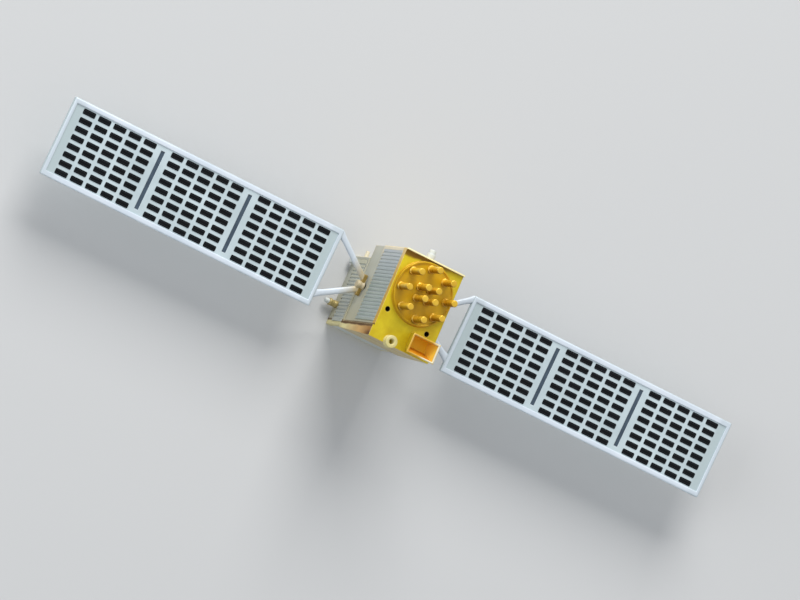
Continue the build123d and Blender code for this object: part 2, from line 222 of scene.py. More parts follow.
class Finish:
    """One material and its node tree, with short calls for the nodes that its finish needs."""

    def __init__(self, name):
        self.material = bpy.data.materials.new(name)
        self.material.use_nodes = True
        self.tree = self.material.node_tree
        self.tree.nodes.clear()
        self.shader = self.node("ShaderNodeBsdfPrincipled")
        output = self.node("ShaderNodeOutputMaterial")
        self.link(self.shader.outputs["BSDF"], output.inputs["Surface"])
        self.coords = self.node("ShaderNodeTexCoord")
        self.place = self.coords.outputs["Object"]

    def node(self, kind, **settings):
        made = self.tree.nodes.new(kind)
        for key, value in settings.items():
            setattr(made, key, value)
        return made

    def link(self, source, target):
        self.tree.links.new(source, target)

    def put(self, socket, value):
        """A link where value is a socket, and otherwise the socket's own value."""
        if isinstance(value, bpy.types.NodeSocket):
            self.link(value, socket)
        else:
            socket.default_value = value

    def stretched(self, scale):
        """The object's coordinates times a scale along each axis."""
        mapping = self.node("ShaderNodeMapping")
        mapping.inputs["Scale"].default_value = scale
        self.link(self.place, mapping.inputs["Vector"])
        return mapping.outputs["Vector"]

    def noise(self, scale, detail=4.0, roughness=0.55, place=None):
        made = self.node("ShaderNodeTexNoise")
        made.inputs["Scale"].default_value = scale
        made.inputs["Detail"].default_value = detail
        made.inputs["Roughness"].default_value = roughness
        self.link(place or self.place, made.inputs["Vector"])
        return made.outputs["Fac"]

    def spread(self, value, low, high, to_low=0.0, to_high=1.0):
        """The range from low to high mapped to the one from to_low to to_high, and held at its ends."""
        made = self.node("ShaderNodeMapRange")
        self.link(value, made.inputs["Value"])
        made.inputs["From Min"].default_value = low
        made.inputs["From Max"].default_value = high
        made.inputs["To Min"].default_value = to_low
        made.inputs["To Max"].default_value = to_high
        return made.outputs["Result"]

    def uneven(self, noise, low, high):
        """A value that wanders between low and high with a noise."""
        return self.spread(noise, 0.3, 0.7, low, high)

    def maths(self, kind, a, b):
        made = self.node("ShaderNodeMath", operation=kind)
        self.put(made.inputs[0], a)
        self.put(made.inputs[1], b)
        return made.outputs[0]

    def plus(self, a, b):
        return self.maths("ADD", a, b)

    def times(self, a, b):
        return self.maths("MULTIPLY", a, b)

    def off_zero(self, value):
        """How far a value is from 0, on either side."""
        return self.maths("ABSOLUTE", value, 0.0)

    def blend(self, share, a, b):
        made = self.node("ShaderNodeMix", data_type="RGBA")
        self.put(made.inputs[0], share)
        self.put(made.inputs[6], a)
        self.put(made.inputs[7], b)
        return made.outputs[2]

    def parts(self, vector):
        """The three numbers of a vector, each as a socket."""
        made = self.node("ShaderNodeSeparateXYZ")
        self.link(vector, made.inputs[0])
        return made.outputs[0], made.outputs[1], made.outputs[2]

    def facing(self):
        """How much the surface faces the object's X, Y and Z, as three sockets."""
        return self.parts(self.coords.outputs["Normal"])

    def faces(self, share):
        """1 where the surface faces along an axis, given how much it faces that axis."""
        return self.spread(share, 0.5, 0.7)

    def near(self, value, middle, inner, outer):
        """1 where value lies within inner of middle, fading to 0 at outer."""
        off = self.off_zero(self.maths("SUBTRACT", value, middle))
        return self.spread(off, inner, outer, 1.0, 0.0)

    def soft_edges(self, radius, joint=None):
        """The normal with its edges rounded off, and a mask that is 1 on those edges. Where joint is 1,
        the edge meets another piece without a break and stays sharp."""
        rounded = self.node("ShaderNodeBevel", samples=6)
        rounded.inputs["Radius"].default_value = radius
        flat = self.node("ShaderNodeNewGeometry").outputs["True Normal"]
        normal = rounded.outputs["Normal"]
        if joint is not None:
            either = self.node("ShaderNodeMix", data_type="VECTOR")
            self.put(either.inputs[0], joint)
            self.put(either.inputs[4], normal)
            self.put(either.inputs[5], flat)
            normal = either.outputs[1]
        match = self.node("ShaderNodeVectorMath", operation="DOT_PRODUCT")
        self.link(normal, match.inputs[0])
        self.link(flat, match.inputs[1])
        return normal, self.spread(match.outputs["Value"], 0.995, 0.86)

    def bump(self, height, depth, strength, normal=None):
        """The normal, or the surface's own, with a relief of the given depth on it."""
        made = self.node("ShaderNodeBump")
        made.inputs["Strength"].default_value = strength
        made.inputs["Distance"].default_value = depth
        self.link(height, made.inputs["Height"])
        if normal is not None:
            self.link(normal, made.inputs["Normal"])
        return made.outputs["Normal"]

    def orange_peel(self, normal):
        """The normal with the fine relief of sprayed paint."""
        return self.bump(self.noise(1400, 2, 0.5), 0.00004, 0.35, normal)

    def set(self, **values):
        """Values or sockets for the shader's sockets, by their names with underscores for spaces."""
        for key, value in values.items():
            self.put(self.shader.inputs[key.replace("_", " ")], value)


def colour(red, green, blue):
    """A colour given by its 8-bit screen values, as linear light."""
    screen = np.array([red, green, blue], float) / 255
    linear = np.where(screen <= 0.04045, screen / 12.92, ((screen + 0.055) / 1.055) ** 2.4)
    return (*linear.tolist(), 1.0)


def shaded(tone, share):
    """A tone of three screen values times share, which is one number or three."""
    return (np.array(tone) * share).tolist()


# Finishes: tones are 8-bit screen values, and lengths are in metres on the object

DECK_GOLD = (colour(198, 171, 22), colour(221, 202, 36))
# Brown of the painted shade along the seam between the hull and the shelf
SEAM_SHADE_BROWN = colour(92, 62, 22)


def satin_gold(name, light, deep, worn, roughness=0.36, under=None):
    """Satin gold paint over a cast body: cloudy tone, fine orange-peel, brighter rubbed edges. Where under
    is given, it darkens the sides that face +X, and the faces towards +Z a little, as painted shade."""
    f = Finish(name)
    normal, edge = f.soft_edges(0.0006)
    clouds = f.noise(90, 5, 0.6)
    tone = f.blend(f.spread(clouds, 0.32, 0.7), colour(*deep), colour(*light))
    # Painted shade: the sides towards +X are darkened, and the tips facing +Z a little
    if under is not None:
        nx, _, nz = f.facing()
        tone = f.blend(f.spread(nx, 0.0, 0.8, 0.0, 0.9), tone, colour(*under))
        tone = f.blend(f.spread(nz, 0.6, 0.95, 0.0, 0.2), tone, colour(*under))
    rubbed = f.times(edge, f.spread(f.noise(420, 3), 0.38, 0.6))
    tone = f.blend(f.times(rubbed, 0.75), tone, colour(*worn))
    f.set(Base_Color=tone, Metallic=0.4, Specular_IOR_Level=0.4, Coat_Weight=0.16, Coat_Roughness=0.2)
    f.set(Roughness=f.uneven(clouds, roughness - 0.06, roughness + 0.08))
    f.set(Normal=f.orange_peel(normal))
    return f.material


def deck_tone(f, x, y, clouds, ragged):
    """The deck: yellow gold, with a painted shadow of the lip below it that is wider and darker towards -Y.
    """
    deck = f.blend(f.spread(clouds, 0.32, 0.7), *DECK_GOLD)
    # Painted shadow: a ragged brown band beside the lip, standing in for the shade that the lip casts on
    # the deck
    leaning = f.plus(f.times(y, 0.09), f.plus(x, ragged))
    lip_shadow = f.times(f.spread(leaning, -0.0250, -0.0266), f.spread(y, -0.010, 0.010, 0.85, 0.6))
    return f.blend(lip_shadow, deck, colour(112, 64, 4))


def side_tone(f, x, z, ny, clouds, ragged):
    """The hull's sides: grey cream, paler in a band along the front box's -X edge and stained in clouds. A
    gold border runs along the deck, and a brown line of painted shade lies along the seam beside the shelf."""
    on_front = f.spread(z, FRONT_Z - 0.002, FRONT_Z + 0.002, 0.15, 1.0)
    band = f.times(f.spread(x, -0.0215, -0.0255), on_front)
    side = f.blend(band, colour(184, 186, 174), colour(232, 220, 194))
    side = f.blend(f.spread(x, -0.010, 0.020), side, colour(176, 174, 152))
    side = f.blend(f.spread(clouds, 0.35, 0.72, 0.0, 0.3), side, colour(168, 160, 134))
    border = f.blend(f.spread(x, -0.024, -0.010), colour(222, 190, 124), colour(198, 156, 62))
    side = f.blend(f.spread(f.plus(z, ragged), DECK_Z - 0.0046, DECK_Z - 0.0034), side, border)
    side = f.blend(f.spread(x, SHELF_X, SHELF_X + 0.0006), side, colour(216, 206, 152))
    # Painted shade: a brown line on the sides along the seam with the shelf
    joint = f.times(f.near(x, SHELF_X - 0.0004, 0.0004, 0.0009), f.faces(f.off_zero(ny)))
    return f.blend(f.times(joint, 0.8), side, SEAM_SHADE_BROWN)


def flush_seam(f, x, front):
    """1 on the deck beside its seam with the shelf, where the two lie flush and neither edge is rounded."""
    return f.times(front, f.near(x, SHELF_X, 0.0012, 0.0014))


def in_deck_holes(f, x, y, z):
    """1 inside the deck's holes: near either hole's axis, out to its wall, and below the deck."""
    flat = f.node("ShaderNodeCombineXYZ")
    f.link(x, flat.inputs[0])
    f.link(y, flat.inputs[1])
    within, fade = 0.0, 0.00004
    for hole_x, hole_y in DECK_HOLES:
        reach = f.node("ShaderNodeVectorMath", operation="DISTANCE")
        f.link(flat.outputs[0], reach.inputs[0])
        reach.inputs[1].default_value = (hole_x, hole_y, 0)
        hole = f.spread(reach.outputs["Value"], DECK_HOLE_REACH - fade, DECK_HOLE_REACH + fade, 1.0, 0.0)
        within = f.maths("MAXIMUM", hole, within)
    top, bottom, soft = DECK_Z - 0.0004, DECK_Z - DECK_HOLE_SHADE, 0.0003
    half = (top - bottom) / 2
    return f.times(within, f.near(z, (top + bottom) / 2, half, half + soft))


def hull_paint():
    """Body paint: yellow gold on the deck, grey cream on the sides, and cream on the lip and the -X faces.
    The deck's holes are painted dark inside as painted shade, the lip's inner wall is painted deep brown as
    painted shade, and stains and rubbed edges break up each tone."""
    f = Finish("gold_hull_paint")
    x, y, z = f.parts(f.place)
    nx, ny, nz = f.facing()
    front = f.times(f.faces(nz), f.spread(z, DECK_Z - 0.008, DECK_Z - 0.006))
    normal, edge = f.soft_edges(0.0006, flush_seam(f, x, front))
    clouds = f.noise(80, 5, 0.6)
    ragged = f.uneven(f.noise(160, 4), -0.0005, 0.0005)
    tone = f.blend(front, side_tone(f, x, z, ny, clouds, ragged), deck_tone(f, x, y, clouds, ragged))

    on_front = f.spread(z, FRONT_Z - 0.002, FRONT_Z + 0.002)
    top = f.blend(on_front, colour(224, 216, 190), colour(232, 204, 110))
    tone = f.blend(f.spread(nx, -0.5, -0.7), tone, top)
    on_lip = f.spread(z, DECK_Z + 0.0001, DECK_Z + 0.0003)
    lip = f.blend(f.spread(y, -0.004, 0.014), colour(255, 252, 204), colour(250, 240, 184))
    tone = f.blend(on_lip, tone, lip)
    # Painted shade: the lip's inner wall, facing +X, is painted deep brown
    tone = f.blend(f.times(on_lip, f.faces(nx)), tone, colour(128, 78, 8))

    worn = f.times(edge, f.spread(f.noise(420, 3), 0.35, 0.6, 0.1, 0.6))
    tone = f.blend(worn, tone, colour(242, 226, 160))
    # Painted shade inside the deck's holes
    tone = f.blend(in_deck_holes(f, x, y, z), tone, colour(34, 22, 4))
    f.set(Base_Color=tone, Metallic=f.spread(front, 0, 1, 0.1, 0.3), Specular_IOR_Level=0.4)
    f.set(Roughness=f.uneven(clouds, 0.36, 0.5))
    f.set(Normal=f.orange_peel(normal))
    return f.material


def shelf_paint():
    """Shelf paint: the deck's yellow gold on its front edge. Its ends are cream at the rear and brown near
    the deck, beside a dark line of painted shade along the seam with the hull, and its long faces are
    champagne with long brush marks."""
    f = Finish("shelf_champagne_paint")
    x, _, z = f.parts(f.place)
    _, ny, nz = f.facing()
    front = f.faces(nz)
    normal, edge = f.soft_edges(0.0006, flush_seam(f, x, front))
    brush = f.noise(60, 4, 0.6, f.stretched((1, 0.04, 1)))
    marks = f.noise(900, 3, 0.6, f.stretched((1, 0.02, 1)))
    stains = f.noise(120, 4)
    deck = f.blend(f.spread(f.noise(80, 5, 0.6), 0.32, 0.7), *DECK_GOLD)
    plain = f.blend(f.uneven(brush, 0, 1), colour(184, 164, 112), colour(216, 204, 160))
    end = f.blend(f.spread(z, 0.030, 0.052), colour(226, 216, 160), colour(214, 172, 108))
    end = f.blend(f.spread(z, 0.054, 0.070), end, colour(168, 112, 36))
    corner = f.times(f.spread(z, 0.062, 0.070), f.spread(x, 0.0275, 0.0295))
    end = f.blend(corner, end, colour(98, 60, 18))
    # Painted shade: a dark line on the shelf's ends along the seam with the hull
    joint = f.near(f.plus(x, f.uneven(stains, -0.0003, 0.0003)), SHELF_X + 0.0004, 0.0009, 0.0016)
    end = f.blend(joint, end, SEAM_SHADE_BROWN)
    end = f.blend(f.spread(stains, 0.4, 0.7, 0.0, 0.3), end, colour(150, 122, 78))
    tone = f.blend(f.faces(f.off_zero(ny)), plain, end)
    tone = f.blend(front, tone, deck)
    tone = f.blend(f.times(edge, 0.5), tone, colour(236, 222, 168))
    f.set(Base_Color=tone, Metallic=0.25, Specular_IOR_Level=0.4)
    f.set(Roughness=f.uneven(marks, 0.36, 0.5))
    f.set(Normal=f.bump(marks, 0.00003, 0.4, normal))
    return f.material


def horn_paint():
    """Horn paint: orange gold. The faces towards +X, the floor of the mouth and, of the faces towards -Y,
    the inner one are painted brighter and yellower, as painted light that offsets their shade; the outer
    face towards -Y is more olive, and the root is a little deeper."""
    f = Finish("gold_horn_paint")
    normal, edge = f.soft_edges(0.0005)
    _, y, z = f.parts(f.place)
    nx, ny, nz = f.facing()
    clouds = f.noise(110, 5, 0.6)
    patches = f.spread(clouds, 0.32, 0.7)
    tone = f.blend(patches, colour(214, 140, 18), colour(236, 168, 44))
    outer = f.blend(patches, colour(176, 148, 14), colour(200, 176, 30))
    # Painted light: the inner face towards -Y is painted bright to offset its shade
    left_faces = f.blend(f.spread(y, 0.006, 0.012), outer, colour(255, 222, 84))
    tone = f.blend(f.spread(ny, -0.4, -0.7), tone, left_faces)
    # Painted light: the faces towards +X and the mouth's floor are painted yellower to offset their shade
    yellow = f.maths("MAXIMUM", f.spread(nx, 0.4, 0.7), f.faces(nz))
    tone = f.blend(f.times(yellow, 0.85), tone, colour(244, 200, 24))
    tone = f.blend(f.spread(z, DECK_Z + 0.006, DECK_Z + 0.001, 0.0, 0.2), tone, colour(186, 124, 12))
    tone = f.blend(f.times(edge, 0.5), tone, colour(238, 206, 120))
    f.set(Base_Color=tone, Metallic=0.3, Specular_IOR_Level=0.4)
    f.set(Roughness=f.uneven(clouds, 0.34, 0.48))
    f.set(Normal=f.orange_peel(normal))
    return f.material


def graded_paint(name, start, end, near, far, slope=0.0):
    """Satin paint that turns from one tone to another with the distance from the plane y = 0 (plus slope
    times x), with a ragged change, a fine grain and a slightly uneven gloss."""
    f = Finish(name)
    normal, _ = f.soft_edges(0.0003)
    x, y, _ = f.parts(f.place)
    age = f.noise(140, 4, 0.6)
    away = f.plus(f.off_zero(y), f.uneven(age, -0.001, 0.001))
    away = f.plus(away, f.times(x, slope))
    tone = f.blend(f.spread(away, start, end), colour(*near), colour(*far))
    tone = f.blend(f.spread(age, 0.5, 0.75, 0.0, 0.3), tone, colour(*shaded(far, 0.86)))
    f.set(Base_Color=tone, Specular_IOR_Level=0.5, Coat_Weight=0.2, Coat_Roughness=0.2)
    f.set(Roughness=f.uneven(age, 0.35, 0.47))
    f.set(Normal=f.bump(f.noise(1600, 2), 0.00003, 0.3, normal))
    return f.material


def cream_paint():
    """Cream panel paint: faint stains, a matt grain and slightly yellowed edges."""
    f = Finish("cream_panel_paint")
    normal, edge = f.soft_edges(0.0005)
    stains = f.noise(70, 5, 0.62)
    tone = f.blend(f.spread(stains, 0.35, 0.7), colour(214, 205, 178), colour(232, 226, 206))
    tone = f.blend(f.times(edge, 0.6), tone, colour(214, 184, 120))
    f.set(Base_Color=tone, Metallic=0.1, Specular_IOR_Level=0.45)
    f.set(Roughness=f.uneven(stains, 0.42, 0.56))
    f.set(Normal=f.bump(f.noise(1500, 2), 0.00004, 0.3, normal))
    return f.material


def radiator_paint():
    """Light grey radiator paint: brushed along the ribs, bluish towards the -X edge and warmer on the rear
    box, with dust that has settled unevenly. Its tone is brighter towards the -X edge and on the rear box
    as painted light, and paler in the grooves as painted light that offsets their shade."""
    f = Finish("radiator_grey_paint")
    normal, edge = f.soft_edges(0.0003)
    x, y, z = f.parts(f.place)
    dust = f.noise(60, 5, 0.6)
    streaks = f.noise(700, 3, 0.6, f.stretched((1, 1, 0.05)))
    # Painted light: the tone is brighter towards the -X edge and on the rear box
    cool = f.blend(f.spread(x, -0.024, -0.002), colour(176, 183, 190), colour(140, 153, 147))
    warm = f.blend(f.spread(x, -0.016, 0.006), colour(200, 198, 172), colour(170, 174, 166))
    tone = f.blend(f.spread(z, 0.022, 0.038), warm, cool)
    tone = f.blend(f.spread(dust, 0.4, 0.7, 0.0, 0.4), tone, colour(190, 194, 186))
    tone = f.blend(f.times(f.spread(streaks, 0.45, 0.7), 0.25), tone, colour(194, 190, 176))
    # Painted light: the grooves are painted paler to offset their shade
    groove = f.spread(f.off_zero(y), SIDE_FACE_Y + 0.0001, SIDE_FACE_Y - 0.0001)
    tone = f.blend(f.times(groove, 0.7), tone, colour(208, 214, 212))
    tone = f.blend(f.times(edge, 0.35), tone, colour(208, 212, 208))
    f.set(Base_Color=tone, Metallic=0.1, Specular_IOR_Level=0.4)
    f.set(Roughness=f.uneven(dust, 0.42, 0.56))
    f.set(Normal=f.bump(streaks, 0.00003, 0.35, normal))
    return f.material


def pale_moulding(name, low, high):
    """Moulded plastic with a soft grain and a tone that wanders between two."""
    f = Finish(name)
    normal, _ = f.soft_edges(0.0003)
    age = f.noise(140, 4, 0.6)
    tone = f.blend(f.spread(age, 0.35, 0.7), colour(*low), colour(*high))
    f.set(Base_Color=tone, Roughness=f.uneven(age, 0.38, 0.5), Specular_IOR_Level=0.5)
    f.set(Normal=f.bump(f.noise(1800, 2), 0.00003, 0.3, normal))
    return f.material


def wing_lacquer(name, low, high):
    """Silver-white lacquer of the wings: a cool pearl tone, a little darker at both ends beyond the cells.
    It has fine brush marks along the wing and bright edges."""
    f = Finish(name)
    normal, edge = f.soft_edges(0.0005)
    _, y, _ = f.parts(f.place)
    pearl = f.noise(45, 5, 0.6)
    brush = f.noise(1100, 3, 0.6, f.stretched((1, 0.03, 1)))
    tone = f.blend(f.spread(pearl, 0.35, 0.68), colour(*low), colour(*high))
    over_cells = f.near(f.off_zero(y), WING_MIDDLE_Y, 0.0905, 0.0930)
    tone = f.blend(over_cells, colour(*shaded(low, (0.97, 0.97, 0.96))), tone)
    tone = f.blend(f.times(edge, 0.8), tone, colour(224, 232, 240))
    f.set(Base_Color=tone, Metallic=0.12, Coat_Weight=0.4, Coat_Roughness=0.15)
    f.set(Roughness=f.uneven(pearl, 0.32, 0.44))
    f.set(Normal=f.bump(brush, 0.00002, 0.3, normal))
    return f.material


def cell_film():
    """Black satin cell film: a faint blue depth, with two conductor lines and fine fingers on each cell."""
    f = Finish("solar_cell_film")
    depth = f.noise(55, 4, 0.6)
    tone = f.blend(f.spread(depth, 0.35, 0.7), colour(2, 3, 4), colour(8, 10, 15))
    local = f.node("ShaderNodeAttribute", attribute_name="local")
    across, along, _ = f.parts(local.outputs["Vector"])
    line = f.near(f.maths("PINGPONG", across, 0.5), 0.25, 0.012, 0.03)
    finger = f.spread(f.maths("PINGPONG", f.times(along, 9.0), 0.5), 0.03, 0.08, 0.35, 0.0)
    tone = f.blend(f.times(f.maths("MAXIMUM", line, finger), 0.16), tone, colour(110, 120, 132))
    f.set(Base_Color=tone, Coat_Weight=0.04, Coat_Roughness=0.12, Specular_IOR_Level=0.1)
    f.set(Roughness=f.uneven(depth, 0.3, 0.44))
    f.set(Normal=f.bump(f.noise(900, 2), 0.00001, 0.3))
    return f.material


def seam_film():
    """Dark slate film on the floors of the seam grooves."""
    f = Finish("seam_slate_film")
    depth = f.noise(120, 4, 0.6)
    tone = f.blend(f.spread(depth, 0.35, 0.7), colour(44, 62, 78), colour(66, 84, 100))
    f.set(Base_Color=tone, Roughness=f.uneven(depth, 0.3, 0.45), Coat_Weight=0.2)
    f.set(Normal=f.bump(f.noise(900, 2), 0.00001, 0.3))
    return f.material


def make_finishes():
    """The finishes by name: one for each material slot of the record, then the scene's own."""
    return {
        "gold_hull": hull_paint(),
        "gold_panel": satin_gold("gold_panel_paint", (226, 190, 66), (204, 160, 44), (244, 214, 140)),
        "gold_fitting": satin_gold("gold_fitting_paint", (206, 164, 8), (180, 137, 1), (230, 196, 60)),
        # The rods' sides towards +X and their tips carry painted shade
        "gold_rod": satin_gold(
            "gold_rod_lacquer", (248, 206, 70), (226, 180, 40), (250, 226, 130),
            roughness=0.28, under=(128, 84, 6),
        ),
        "gold_horn": horn_paint(),
        "cream_panel": cream_paint(),
        "shelf_metal": shelf_paint(),
        "radiator_grey": radiator_paint(),
        "white_plastic": pale_moulding("white_moulded_plastic", (196, 202, 200), (212, 218, 216)),
        "wing_silver": wing_lacquer("wing_silver_lacquer", (189, 205, 211), (205, 221, 227)),
        "solar_cell": cell_film(),
        "seam_slate": seam_film(),
        # The rim turns from gold to cream on its +Y and +X sides: a painted reflection
        "horn_cream": graded_paint(
            "horn_rim_paint", start=0.024, end=0.029, near=(206, 158, 40), far=(226, 220, 188), slope=0.5
        ),
        "ring_cream": pale_moulding("ring_cream_plastic", (206, 194, 128), (222, 212, 156)),
        "stub_bronze": satin_gold("side_stub_bronze", (186, 168, 112), (152, 134, 82), (214, 200, 150)),
        # The arms and hub turn beige near the body: painted shade
        "yoke_silver": graded_paint(
            "yoke_silver_paint", start=0.027, end=0.036, near=(182, 168, 134), far=(202, 212, 222)
        ),
        "yoke_brown": satin_gold("yoke_root_paint", (158, 134, 74), (130, 106, 50), (206, 184, 128)),
        # The edge frame's lacquer is brighter than the plates': a painted highlight
        "wing_edge": wing_lacquer("wing_edge_lacquer", (212, 224, 237), (223, 232, 243)),
    }


def dress(piece, material):
    """The material in every slot of a piece or node, which keeps its own mesh."""
    mesh = piece.data
    mesh.materials.clear()
    mesh.materials.append(material)


def dress_nodes(finishes):
    """Each node of the CAD model in the finish of its own slot. The rear pin is cream, like its panel."""
    for row in frame["record"]["subparts"]:
        node = frame["nodes"][row["node"]]
        dress(node, finishes[row["material_slot"]])
    dress(frame["nodes"]["rear_pin"], finishes["cream_panel"])


def add(piece, body, slot, material, *stands_for):
    """A made piece gets its material, rides on its body and stands for the nodes that it replaces."""
    dress(piece, material)
    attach(piece, body)
    if stands_for:
        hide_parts(*stands_for)


# Turned pieces in place of plain posts, and trim

def rod_places():
    """Feet of the rods: points evenly spaced round each circle on the disc."""
    low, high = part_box("array_disc")
    centre_x = (low.x + high.x) / 2
    foot_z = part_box("array_rods")[0].z
    places = []
    for count, circle, first in ROD_CIRCLES:
        angle = np.radians(first + np.arange(count) * 360 / count)
        x, y = centre_x + circle * np.cos(angle), circle * np.sin(angle)
        places.append(np.stack([x, y, foot_z + 0 * angle], axis=1))
    return np.concatenate(places)


def antenna_rods():
    """Turned rods: a collar with a rounded edge, a small fillet, a straight shaft and a soft flat tip."""
    low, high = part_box("array_rods")
    height = high.z - low.z
    collar, collar_top = ROD_COLLAR
    soft, tip = 0.0003, 0.0005
    outline = profile(
        (0, 0), (collar, 0),
        arc((collar - soft, collar_top - soft), soft, 0, 90, 4),
        arc((ROD_RADIUS + soft, collar_top + soft), soft, 270, 180, 4),
        (ROD_RADIUS, height * 0.5),
        arc((ROD_RADIUS - tip, height - tip), tip, 0, 90, 5),
        (0, height),
    )
    return surface("array_rods_turned", placed(turned(outline, 40), rod_places()), wrap_v=True)


def disc_foot():
    """A quarter-round bead where the array disc meets the deck, turned about the disc's own axis."""
    low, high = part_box("array_disc")
    centre = ((low.x + high.x) / 2, 0, low.z)
    radius, bead, lift = (high.x - low.x) / 2, 0.0005, 2 * HAIR
    inner = radius - 0.0004
    outline = profile(
        (inner, lift), (radius + bead, lift), arc((radius, lift), bead, 0, 90, 5), (inner, bead),
    )
    return surface("array_disc_foot", placed(turned(outline, 120), [centre]), wrap_u=True, wrap_v=True)


def ring_tube():
    """The white ring: a tube with a rounded outer edge, a chamfered bore and a shallow waist outside."""
    low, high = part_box("white_ring")
    centre = ((low.x + high.x) / 2, (low.y + high.y) / 2, low.z)
    radius, height = (high.x - low.x) / 2, high.z - low.z
    lip, waist = 0.0006, radius - 0.0002
    outline = profile(
        (RING_BORE, 0), (radius, 0), (radius, height * 0.22), (waist, height * 0.30),
        (waist, height * 0.58), (radius, height * 0.66),
        arc((radius - lip, height - lip), lip, 0, 90, 5),
        (RING_BORE + lip, height), (RING_BORE, height - lip),
    )
    return surface("white_ring_turned", placed(turned(outline, 56), [centre]), wrap_u=True, wrap_v=True)


def top_stub():
    """The stub on the -X face, turned: a wide base, a shoulder and a softly rounded cap."""
    low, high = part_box("top_stub")
    foot = (high.x, (low.y + high.y) / 2, (low.z + high.z) / 2)
    base, cap, length = (high.z - low.z) / 2, 0.0022, high.x - low.x
    soft, shoulder, cut = 0.0004, length * 0.6, 0.0001
    outline = profile(
        (0, 0), (base, 0), arc((base - soft, shoulder - soft), soft, 0, 90, 4),
        (cap + cut, shoulder), (cap, shoulder + cut),
        arc((cap - soft, length - soft), soft, 0, 90, 4), (0, length),
    )
    form = turned_towards(turned(outline, 44), (-1, 0, 0))
    return surface("top_stub_turned", placed(form, [foot]), wrap_v=True)


def side_stub_pair(name, node, outline):
    """A turned stub on each side of the rear box: the same outline, standing out along -Y and +Y."""
    low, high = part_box(node)
    foot_x, foot_z = (low.x + high.x) / 2, (low.z + high.z) / 2
    form = turned(outline, 44)
    grids = [
        turned_towards(form, (0, side, 0)) + np.array([foot_x, side * SIDE_FACE_Y, foot_z])
        for _, side in SIDES
    ]
    return surface(name, np.stack(grids), wrap_v=True)


def white_stub_outline():
    """Root to tip of a white side stub: a straight wall with a shallow groove and a rounded end."""
    low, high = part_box("side_stubs_white")
    radius, length = (high.x - low.x) / 2, high.y - SIDE_FACE_Y
    groove, soft = radius - 0.0002, 0.0005
    return profile(
        (0, 0), (radius, 0), (radius, length * 0.45), (groove, length * 0.5),
        (groove, length * 0.6), (radius, length * 0.65),
        arc((radius - soft, length - soft), soft, 0, 90, 4), (0, length),
    )


def gold_stub_outline():
    """Root to shoulder of a gold side stub: a raised band at each end and a rounded shoulder."""
    low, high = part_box("side_stubs_gold")
    radius, shoulder = (high.x - low.x) / 2, GOLD_STUB_SHOULDER
    waist, soft = radius - 0.00025, 0.0004
    return profile(
        (0, 0), (radius, 0), (radius, shoulder * 0.3), (waist, shoulder * 0.35),
        (waist, shoulder * 0.7), (radius, shoulder * 0.75),
        arc((radius - soft, shoulder - soft), soft, 0, 90, 4), (0, shoulder),
    )


def stub_tip_outline():
    """The white tip of a gold stub: it starts inside the shoulder and ends in a rounded nose."""
    start, radius = STUB_TIP
    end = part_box("side_stubs_gold")[1].y - SIDE_FACE_Y
    nose = radius * 0.6
    return profile(
        (0, start), (radius, start), arc((radius - nose, end - nose), nose, 0, 90, 5), (0, end),
    )


def horn_rim():
    """The rolled edge round the horn's mouth: a round bead along a rounded rectangle, where at each
    point of the path a circle spans the path's outward direction and Z."""
    low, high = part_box("corner_horn")
    mouth, bead, inset = 0.0130, 0.00065, 0.0006
    flat = rounded_outline(mouth - 2 * inset, high.y - low.y - 2 * inset, 0.0006, 5)
    centre = np.array([high.x - mouth / 2, (low.y + high.y) / 2, high.z - bead * 0.6])
    path = np.concatenate([flat, np.zeros((len(flat), 1))], axis=1) + centre
    ahead = np.roll(path, -1, axis=0) - np.roll(path, 1, axis=0)
    ahead = ahead / np.linalg.norm(ahead, axis=1, keepdims=True)
    outward = np.stack([ahead[:, 1], -ahead[:, 0], np.zeros(len(path))], axis=1)
    angle = np.linspace(0, 2 * np.pi, 10, endpoint=False)[None, :, None]
    ring = np.cos(angle) * outward[:, None] + np.sin(angle) * np.array([0, 0, 1.0])
    return surface("corner_horn_rim", (path[:, None] + bead * ring)[None], wrap_u=True, wrap_v=True)


def body_pieces(finishes):
    """The turned pieces that stand for plain nodes of the body, and the trim over the disc and the horn."""
    white = finishes["white_plastic"]
    add(antenna_rods(), "body", "gold_rod", finishes["gold_rod"], "array_rods")
    add(disc_foot(), "body", "gold_fitting", finishes["gold_fitting"])
    add(ring_tube(), "body", "white_plastic", finishes["ring_cream"], "white_ring")
    add(horn_rim(), "body", "gold_horn", finishes["horn_cream"])
    add(top_stub(), "body", "white_plastic", white, "top_stub")
    white_stubs = side_stub_pair("side_stubs_white_turned", "side_stubs_white", white_stub_outline())
    add(white_stubs, "body", "white_plastic", white, "side_stubs_white")
    gold_stubs = side_stub_pair("side_stubs_gold_turned", "side_stubs_gold", gold_stub_outline())
    add(gold_stubs, "body", "gold_fitting", finishes["stub_bronze"], "side_stubs_gold")
    tips = side_stub_pair("side_stub_tips", "side_stubs_gold", stub_tip_outline())
    add(tips, "body", "white_plastic", white, "side_stubs_gold")


# Wings

def cell_places(side):
    """The middle of each cell on a wing: fields along Y, columns along each field, rows along X."""
    fields, columns, rows = CELL_FIELDS
    pitch = columns * CELL_PITCH[1] + FIELD_GAP
    field_y = WING_MIDDLE_Y + (np.arange(fields) - (fields - 1) / 2) * pitch
    column_y = (np.arange(columns) - (columns - 1) / 2) * CELL_PITCH[1]
    row_x = (np.arange(rows) - (rows - 1) / 2) * CELL_PITCH[0]
    x, y = np.meshgrid(row_x, side * (field_y[:, None] + column_y[None]).ravel())
    return np.stack([x.ravel(), y.ravel(), np.full(x.size, WING_THICK / 2 + HAIR)], axis=1)


